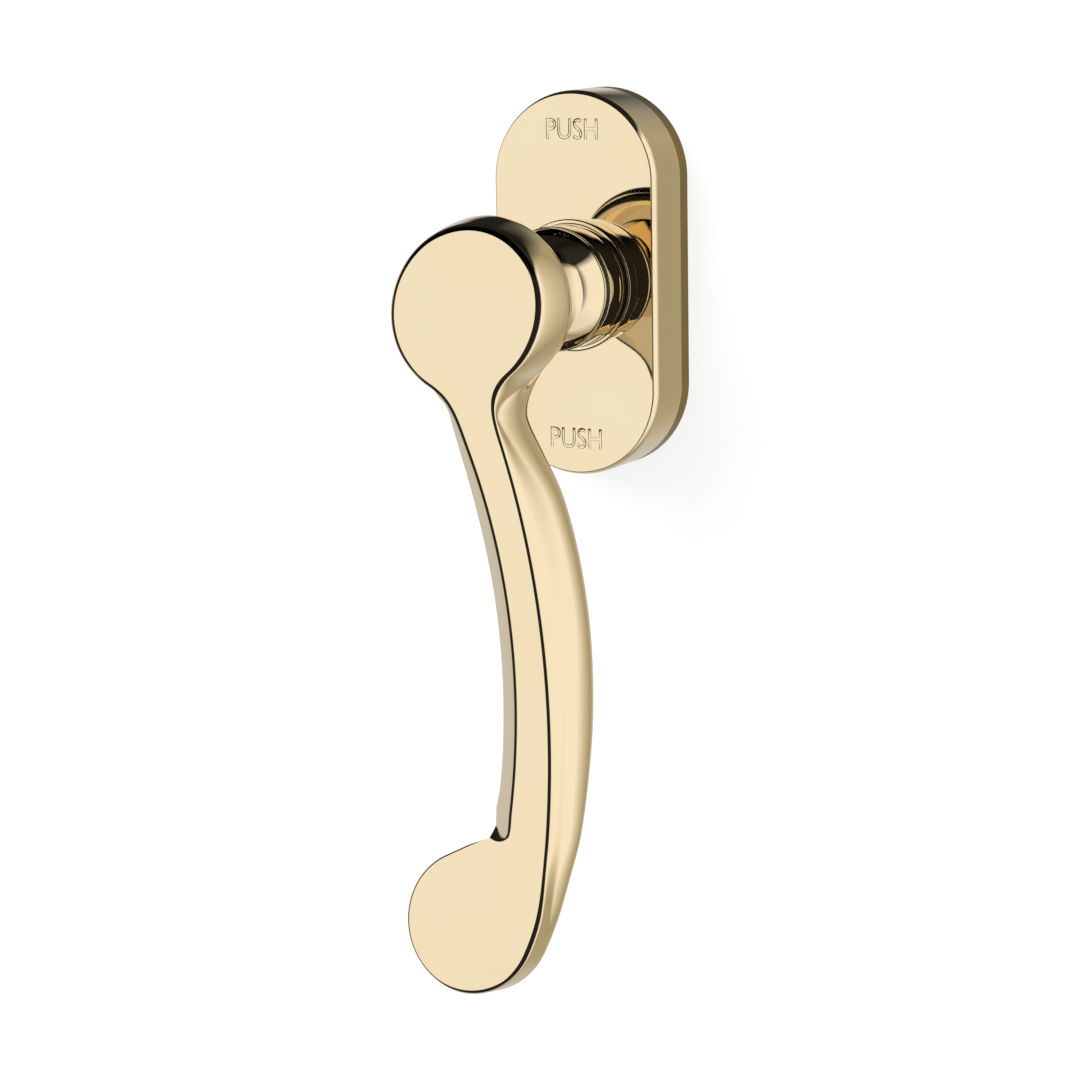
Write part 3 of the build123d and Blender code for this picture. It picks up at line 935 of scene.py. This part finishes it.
def flat_word(sizes):
    """The word as flat letters, centred and scaled to its height and width."""
    words = bpy.data.curves.new("word", "FONT")
    words.body = sizes.word
    words.align_x = "CENTER"
    words.resolution_u = 4
    words.offset = LETTER_WEIGHT
    holder = add_object("word", words)
    bpy.context.view_layer.update()
    flat = bpy.data.meshes.new_from_object(holder)
    bpy.data.objects.remove(holder)
    bm = bmesh.new()
    bm.from_mesh(flat)
    bmesh.ops.remove_doubles(bm, verts=bm.verts, dist=LETTER_WELD)
    low = Vector(min(v.co[i] for v in bm.verts) for i in range(2))
    high = Vector(max(v.co[i] for v in bm.verts) for i in range(2))
    middle, size = ((low + high) / 2).to_3d(), high - low
    scale = Matrix.Diagonal((sizes.word_width / size.x, sizes.word_height / size.y, 1, 1))
    bmesh.ops.transform(bm, matrix=scale @ Matrix.Translation(-middle), verts=bm.verts)
    return bm


def word_cutter(sizes, turn):
    """The word as a solid with sloped sides at its foot, to be cut out of the cover's face."""
    height, clear = 0.5 * MM, 0.01 * MM
    bm = flat_word(sizes)
    lid = only_verts(bmesh.ops.extrude_face_region(bm, geom=list(bm.faces)))
    bmesh.ops.translate(bm, verts=lid, vec=(0, 0, height))
    bmesh.ops.recalc_face_normals(bm, faces=bm.faces)
    bottom = [f for f in bm.faces if in_plane(f)]
    bmesh.ops.inset_region(bm, faces=bottom, thickness=sizes.word_slope, use_even_offset=True)
    sunk = list({v for f in bottom for v in f.verts})
    bmesh.ops.translate(bm, verts=sunk, vec=(0, 0, -sizes.word_depth))
    place = Matrix.Translation((0, turn * sizes.word_place, COVER_FACE + clear))
    bmesh.ops.transform(bm, matrix=BENCH @ place, verts=bm.verts)
    return add_object("word_cutter", as_mesh(bm, "word_cutter"))


def cut_out(piece, cutters):
    """Cuts the solids out of the piece and keeps the result as its mesh."""
    for cutter in cutters:
        cut = piece.modifiers.new("cut", "BOOLEAN")
        cut.operation = "DIFFERENCE"
        cut.solver = "EXACT"
        cut.object = cutter
    bpy.context.view_layer.update()
    graph = bpy.context.evaluated_depsgraph_get()
    mesh = bpy.data.meshes.new_from_object(piece.evaluated_get(graph))
    piece.modifiers.clear()
    piece.data = mesh
    for cutter in cutters:
        bpy.data.objects.remove(cutter)


def build_cover_mesh(sizes):
    """The pressed shell: side, leaning edge, face with its round hole, and the inside."""
    bm = bmesh.new()
    edge, wall, height = sizes.edge_radius, sizes.wall, COVER_FACE - COVER_FOOT
    foot = stadium_ring(bm, ROSETTE_HALF_WIDTH, ROSETTE_HALF_HEIGHT, COVER_FOOT)
    loop = move_ring(bm, foot, 0, height - sizes.edge_depth)
    bow = profile_from([(0, 0, 0), (0.3 * edge, 0.18 * edge, 60), (edge, sizes.edge_depth, 89)])
    for start, end in zip(bow[::-1], bow[-2::-1]):
        loop = move_ring(bm, loop, end.x - start.x, start.y - end.y)
    hole = bmesh.ops.create_circle(
        bm, segments=STADIUM_STEPS, radius=COVER_HOLE,
        matrix=Matrix.Translation((0, 0, COVER_FACE)))
    hole_top = ring_edges(hole["verts"])
    bmesh.ops.bridge_loops(bm, edges=loop + hole_top)
    low = only_verts(bmesh.ops.extrude_edge_only(bm, edges=hole_top))
    bmesh.ops.translate(bm, verts=low, vec=(0, 0, -wall))
    inside = move_ring(bm, foot, -wall, 0)
    ceiling = move_ring(bm, inside, 0, height - wall)
    bmesh.ops.bridge_loops(bm, edges=ceiling + ring_edges(low))
    bmesh.ops.remove_doubles(bm, verts=bm.verts, dist=WELD)
    bmesh.ops.recalc_face_normals(bm, faces=bm.faces)
    shade(bm)
    for face in bm.faces:
        if in_plane(face, COVER_FACE):
            face.smooth = False
    return bm


class HANDLE_OT_cover(bpy.types.Operator):
    """Presses the stadium cover and engraves its word at both ends"""
    bl_idname = "handle.cover"
    bl_label = "Cover"

    def execute(self, context):
        settings = context.scene.window_handle
        bm = build_cover_mesh(settings.cover)
        brushing = (6.0, 1.0, 0.25)
        material = polished_brass(settings.colours, "buffed_brass", brushing)
        piece = as_object(bm, "cover_shell", material)
        cut_out(piece, [word_cutter(settings.cover, turn) for turn in (1, -1)])
        register_piece(piece, "cover", "cover")
        return {"FINISHED"}


class HANDLE_OT_inner(bpy.types.Operator):
    """Gives the carried-over CAD pieces their real finishes"""
    bl_idname = "handle.inner"
    bl_label = "Finishes of the inner pieces"

    def execute(self, context):
        colours = context.scene.window_handle.colours
        finishes = {
            cast_base(colours): ["base_plate", "back_plate"],
            plated_steel(colours): [
                "spindle", "grub_screw", "detent_cam", "fixing_screws", "back_plate_screws",
                "clip_rivets"],
            plated_steel(colours, "blank_spring_steel", 0.3 * MM): [
                "detent_spring_left", "detent_spring_right", "cover_clip_top",
                "cover_clip_bottom", "retaining_ring", "wave_washer"],
        }
        for material, nodes in finishes.items():
            for node in nodes:
                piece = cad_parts[node]
                piece.data.materials.clear()
                piece.data.materials.append(material)
        return {"FINISHED"}


# The set: one sweep for wall and floor, and a tent for the metal to mirror

CAMERA_TARGET = Vector((-7.72, -14.5, -47.26)) * MM
CAMERA_AZIMUTH, CAMERA_ELEVATION, CAMERA_ROLL = radians(26.87), radians(10.42), radians(-0.96)
CAMERA_DISTANCE = 600 * MM
CAMERA_LENS = 108.9


def make_camera():
    """A long lens in front of the handle, a little to its right and above it."""
    a, e, r = CAMERA_AZIMUTH, CAMERA_ELEVATION, CAMERA_ROLL
    back = Vector((sin(a) * cos(e), -cos(a) * cos(e), sin(e)))
    right = Vector((cos(a), sin(a), 0))
    up = back.cross(right)
    level = right * cos(r) + up * sin(r)
    upright = up * cos(r) - right * sin(r)
    data = bpy.data.cameras.new("camera")
    data.lens = CAMERA_LENS
    data.clip_start, data.clip_end = 0.05, 20.0
    camera = add_object("camera", data)
    turn = Matrix((level, upright, back)).transposed().to_4x4()
    camera.matrix_world = Matrix.Translation(CAMERA_TARGET + back * CAMERA_DISTANCE) @ turn
    bpy.context.scene.camera = camera


def seen_directly(tree):
    """1 where the camera, a mirror or clear glass looks, 0 for light that falls on things."""
    rays = add_node(tree, "ShaderNodeLightPath").outputs
    seen = add_math(tree, "MAXIMUM", rays["Is Camera Ray"], rays["Is Glossy Ray"])
    return add_math(tree, "MAXIMUM", seen, rays["Is Transmission Ray"])


def seamless_paper():
    """White paper that glows a little by itself and can be looked through from behind."""
    own_glow = 0.81
    paper = bpy.data.materials.new("seamless_paper")
    tree = cleared_tree(paper)
    matt = add_node(tree, "ShaderNodeBsdfDiffuse", {"Color": linear("8C8C8C")})
    level = add_math(tree, "MULTIPLY", seen_directly(tree), own_glow)
    glow = add_node(tree, "ShaderNodeEmission", {"Strength": level})
    both = add_node(tree, "ShaderNodeAddShader", {0: matt.outputs[0], 1: glow.outputs[0]})
    clear = add_node(tree, "ShaderNodeBsdfTransparent")
    back = add_node(tree, "ShaderNodeNewGeometry").outputs["Backfacing"]
    sheet = add_node(tree, "ShaderNodeMixShader", {
        0: back, 1: both.outputs[0], 2: clear.outputs[0]})
    add_node(tree, "ShaderNodeOutputMaterial", {"Surface": sheet.outputs[0]})
    return paper


def make_sweep():
    """A pale paper wall behind the handle that curves forward into the floor."""
    wall, wall_top, half_width = 0.3 * MM, 900 * MM, 1400 * MM
    floor, floor_front = -420 * MM, -1500 * MM
    bend, bend_steps = 120 * MM, 12
    bm = bmesh.new()
    points = [(0, wall, wall_top)]
    for i in range(bend_steps + 1):
        t = radians(90 * i / bend_steps)
        points.append((0, wall - bend + bend * cos(t), floor + bend - bend * sin(t)))
    points.append((0, floor_front, floor))
    verts, edges = chain(bm, points)
    bmesh.ops.translate(bm, verts=verts, vec=(-half_width, 0, 0))
    far = only_verts(bmesh.ops.extrude_edge_only(bm, edges=edges))
    bmesh.ops.translate(bm, verts=far, vec=(2 * half_width, 0, 0))
    bmesh.ops.recalc_face_normals(bm, faces=bm.faces)
    if bm.faces[0].normal.y > 0:
        bmesh.ops.reverse_faces(bm, faces=bm.faces)
    shade(bm)
    sweep = as_object(bm, "paper_sweep", seamless_paper(), Matrix.Identity(4))
    sweep.visible_glossy = False


# Brightness of the tent and its card round the set: degrees from the front to the right, level
TENT_ROUND = (
    (-180, 0.60), (-150, 0.64), (-128, 0.64), (-104, 0.64), (-97, 0.55), (-92, 0.03),
    (-60, 0.02), (60, 0.02), (88, 0.03), (95, 1.02), (122, 1.06), (138, 0.68), (152, 0.43),
    (168, 0.52), (180, 0.6),
)
CARD_ROUND = ((-180, 0), (-50, 0), (-46, 1), (-4, 1), (0, 0), (180, 0))
# The same from straight down to straight up
CARD_UP = ((-90, 0), (-30, 0), (-26, 1), (26, 1), (30, 0), (90, 0))
TENT_UP_LEFT = ((-90, 0.75), (-50, 0.85), (-28, 1), (12, 1), (22, 0.03), (90, 0.02))
TENT_UP_RIGHT = ((-90, 0.75), (-50, 0.85), (-28, 1), (36, 1), (46, 0.03), (90, 0.02))
# Round the set: the share of the right side's brightness, and of the warm cloth
RIGHT_SIDE = ((-180, 0.5), (-160, 0), (0, 0), (20, 1), (160, 1), (180, 0.5))
WARM_ROUND = ((-180, 0.3), (-150, 0), (122, 0), (148, 1), (165, 1), (180, 0.3))
WARM_CLOTH = "FFF5D7"
WHITE = (1, 1, 1, 1)


def add_ramp(tree, value, stops):
    """Maps a value through a ramp whose stops are given in the value's own units."""
    low, high = stops[0][0], stops[-1][0]
    share = add_node(tree, "ShaderNodeMapRange", {
        "Value": value, "From Min": low, "From Max": high})
    node = add_node(tree, "ShaderNodeValToRGB", {"Fac": share.outputs["Result"]})
    points = node.color_ramp.elements
    for number, (place, level) in enumerate(stops):
        spot = (place - low) / (high - low)
        point = points[number] if number < 2 else points.new(spot)
        point.position = spot
        point.color = (level, level, level, 1)
    return node.outputs["Color"]


def tent_cloth():
    """Cloth that glows by where it hangs round the set and how high."""
    cloth = bpy.data.materials.new("studio_tent")
    tree = cleared_tree(cloth)
    place = add_node(tree, "ShaderNodeTexCoord").outputs["Object"]
    way = add_node(tree, "ShaderNodeVectorMath", {0: place}, operation="NORMALIZE")
    axes = add_node(tree, "ShaderNodeSeparateXYZ", {0: way.outputs[0]}).outputs
    forward = add_math(tree, "MULTIPLY", axes["Y"], -1.0)
    turn = add_math(tree, "DEGREES", add_math(tree, "ARCTAN2", axes["X"], forward))
    rise = add_math(tree, "DEGREES", add_math(tree, "ARCSINE", axes["Z"]))
    card = add_math(
        tree, "MULTIPLY", add_ramp(tree, turn, CARD_ROUND), add_ramp(tree, rise, CARD_UP))
    upwards = add_blend(
        tree, add_ramp(tree, turn, RIGHT_SIDE), add_ramp(tree, rise, TENT_UP_LEFT),
        add_ramp(tree, rise, TENT_UP_RIGHT))
    sides = add_math(tree, "MULTIPLY", add_ramp(tree, turn, TENT_ROUND), upwards)
    glow = add_node(tree, "ShaderNodeEmission", {
        "Color": add_blend(tree, add_ramp(tree, turn, WARM_ROUND), WHITE, linear(WARM_CLOTH)),
        "Strength": add_math(tree, "MAXIMUM", card, sides),
    })
    add_node(tree, "ShaderNodeOutputMaterial", {"Surface": glow.outputs[0]})
    return cloth


def make_tent():
    """A round tent: a bright card to the left of the lens, dark flags, paler sides behind."""
    bm = bmesh.new()
    bmesh.ops.create_uvsphere(bm, u_segments=48, v_segments=24, radius=3.0)
    bmesh.ops.reverse_faces(bm, faces=bm.faces)
    shade(bm)
    tent = as_object(bm, "studio_tent", tent_cloth(), Matrix.Identity(4))
    tent.visible_camera = False
    tent.visible_diffuse = False
    tent.visible_shadow = False


def make_world():
    """White to look at, and a dim grey as light on the pieces."""
    world = bpy.data.worlds.new("studio")
    bpy.context.scene.world = world
    tree = cleared_tree(world)
    dim = (0.45, 0.45, 0.45, 1)
    tint = add_blend(tree, seen_directly(tree), dim, WHITE)
    ground = add_node(tree, "ShaderNodeBackground", {"Color": tint})
    add_node(tree, "ShaderNodeOutputWorld", {"Surface": ground.outputs[0]})


def make_lamp(name, place, size, power):
    """A soft box that lights the paper and the plain surfaces, turned to the handle."""
    data = bpy.data.lights.new(name, "AREA")
    data.shape, data.size, data.energy = "SQUARE", size, power
    lamp = add_object(name, data)
    lamp.location = place
    lamp.rotation_euler = (Vector(place) - CAMERA_TARGET).to_track_quat("Z", "Y").to_euler()
    lamp.visible_glossy = False
    lamp.visible_camera = False


class HANDLE_OT_stage(bpy.types.Operator):
    """Sets up the camera, the paper sweep, the tent and the soft lamps"""
    bl_idname = "handle.stage"
    bl_label = "Camera and stage"

    def execute(self, context):
        make_camera()
        make_sweep()
        make_tent()
        make_world()
        make_lamp("key_softbox", (-0.5, -1.1, 0.7), 0.9, 14)
        make_lamp("fill_softbox", (0.9, -1.2, 0.2), 1.0, 5)
        context.scene.view_settings.view_transform = "Standard"
        return {"FINISHED"}


class HANDLE_PT_panel(bpy.types.Panel):
    """A button for each step, and the settings below"""
    bl_label = "Window Handle"
    bl_space_type = "VIEW_3D"
    bl_region_type = "UI"
    bl_category = "Window Handle"

    def draw(self, context):
        settings = context.scene.window_handle
        for operator in OPERATORS:
            self.layout.operator(operator.bl_idname)
        for group in (settings.lever, settings.neck, settings.cover, settings.colours):
            box = self.layout.box()
            for name in group.bl_rna.properties.keys():
                if name not in ("rna_type", "name"):
                    box.prop(group, name)


OPERATORS = (
    HANDLE_OT_lever, HANDLE_OT_neck, HANDLE_OT_collar, HANDLE_OT_cover, HANDLE_OT_inner,
    HANDLE_OT_stage)
GROUPS = (LeverSizes, NeckSizes, CoverSizes, FinishColours, HandleSettings)
CLASSES = GROUPS + OPERATORS + (HANDLE_PT_panel,)


def register():
    """Adds the classes and the scene's settings."""
    for item in CLASSES:
        bpy.utils.register_class(item)
    bpy.types.Scene.window_handle = PointerProperty(type=HandleSettings)


def unregister():
    """Removes the scene's settings and the classes."""
    del bpy.types.Scene.window_handle
    for item in reversed(CLASSES):
        bpy.utils.unregister_class(item)


def main():
    """Builds every piece and the stage."""
    register()
    bpy.ops.handle.lever()
    bpy.ops.handle.neck()
    bpy.ops.handle.collar()
    bpy.ops.handle.cover()
    bpy.ops.handle.inner()
    bpy.ops.handle.stage()


if __name__ == "__main__":
    main()
